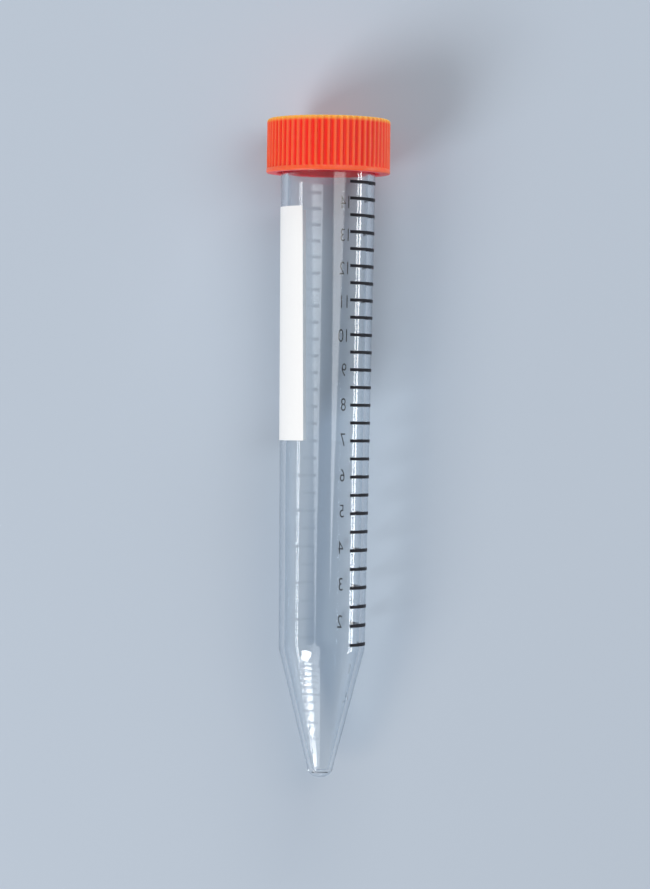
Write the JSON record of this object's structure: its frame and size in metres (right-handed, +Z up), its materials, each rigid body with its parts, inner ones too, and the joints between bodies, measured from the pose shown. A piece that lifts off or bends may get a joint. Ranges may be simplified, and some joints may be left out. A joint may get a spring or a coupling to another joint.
{
  "type": "conical tube",
  "caption": "Clear conical laboratory tube lying on its side, with an orange ribbed screw cap, a white writing panel and a printed volume scale.",
  "frame": {"origin": "on the surface that the tube lies on, under the middle of its bounding box", "axes": "+Y along the tube from its tip to its cap (the axis itself rises 2.3 degrees towards the cap), +Z up, +X across"},
  "size_m": [0.0224, 0.1194, 0.0227],
  "materials": {
    "clear_plastic": "clear, colourless, polished moulding",
    "cap_plastic": "orange moulding, satin, slightly translucent at its edges",
    "white_ink": "opaque white ink for writing on",
    "black_ink": "opaque black ink"
  },
  "bodies": {
    "tube": {"tube": "clear_plastic", "marking_panel": "white_ink", "graduation_marks": "black_ink"},
    "cap": {"cap": "cap_plastic"}
  },
  "joints": [
    {"name": "cap_lift", "type": "slide", "parent": "tube", "child": "cap", "axis": [0, 0.9992, 0.0394], "range_m": [0, 0.03]}
  ]
}
